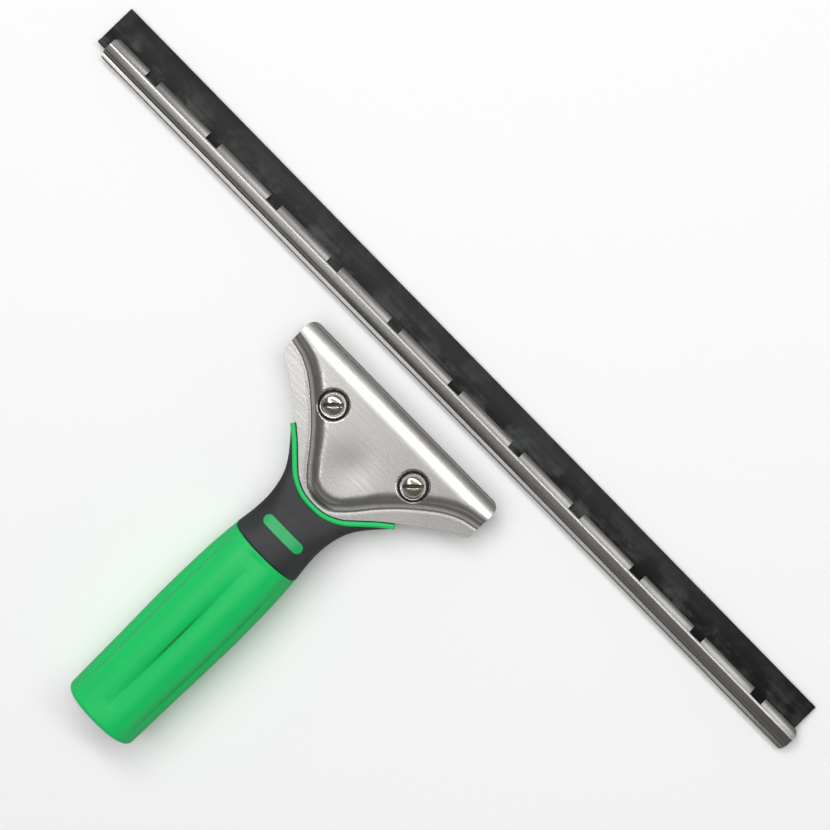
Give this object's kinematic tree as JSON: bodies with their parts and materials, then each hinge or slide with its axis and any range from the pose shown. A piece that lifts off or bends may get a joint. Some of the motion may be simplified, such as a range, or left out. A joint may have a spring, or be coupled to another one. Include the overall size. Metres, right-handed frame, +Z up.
{
  "type": "window squeegee",
  "caption": "Hand squeegee for window cleaning: a clamp-head handle with a soft grip, and its notched steel channel with a rubber strip drawn out of the clamp and lying in front.",
  "frame": {"origin": "middle of the underside of the whole part's box, on the table it lies on", "axes": "+X along the blade channel, +Y forwards from the grip's end to the wiping edge, +Z up from the table"},
  "size_m": [0.4026, 0.2136, 0.033],
  "materials": {
    "stainless": "satin brushed",
    "channel_steel": "bright rolled strip",
    "screw_steel": "nickel plated",
    "blade_rubber": "smooth, lightly dusty",
    "core_plastic": "fine texture",
    "grip_rubber": "soft satin",
    "inlay_plastic": "satin"
  },
  "bodies": {
    "handle": {"handle_core": "core_plastic", "grip_sleeve": "grip_rubber", "neck_inlay": "inlay_plastic", "trim_bead_top": "grip_rubber", "trim_bead_bottom": "grip_rubber", "lower_jaw": "stainless", "left_clamp_nut": "stainless", "right_clamp_nut": "stainless"},
    "jaw": {"upper_jaw": "stainless"},
    "left_screw": {"left_clamp_screw": "screw_steel"},
    "right_screw": {"right_clamp_screw": "screw_steel"},
    "channel": {"steel_channel": "channel_steel"},
    "rubber": {"rubber_blade": "blade_rubber"}
  },
  "joints": [
    {"name": "jaw_slide", "type": "slide", "parent": "handle", "child": "jaw", "axis": [0, 0.141, 0.99], "range_m": [-0.001, 0.001]},
    {"name": "left_screw_turn", "type": "hinge", "parent": "jaw", "child": "left_screw", "pos_m": [-0.02745, 0.0528, 0.00861], "axis": [0, 0.141, 0.99], "range_deg": [-450.5, 450.5]},
    {"name": "right_screw_turn", "type": "hinge", "parent": "jaw", "child": "right_screw", "pos_m": [0.01895, 0.0528, 0.00861], "axis": [0, 0.141, 0.99], "range_deg": [-450.5, 450.5]},
    {"name": "channel_slide", "type": "slide", "parent": "handle", "child": "channel", "axis": [0, -0.99, 0.141], "range_m": [0, 0.0178]},
    {"name": "rubber_slide", "type": "slide", "parent": "channel", "child": "rubber", "axis": [1, 0, 0], "range_m": [-0.4, 0.4]}
  ],
  "couplings": [
    {"joint": "left_screw_turn", "follows": "jaw_slide", "rad_per_m": 7854},
    {"joint": "right_screw_turn", "follows": "jaw_slide", "rad_per_m": 7854}
  ]
}
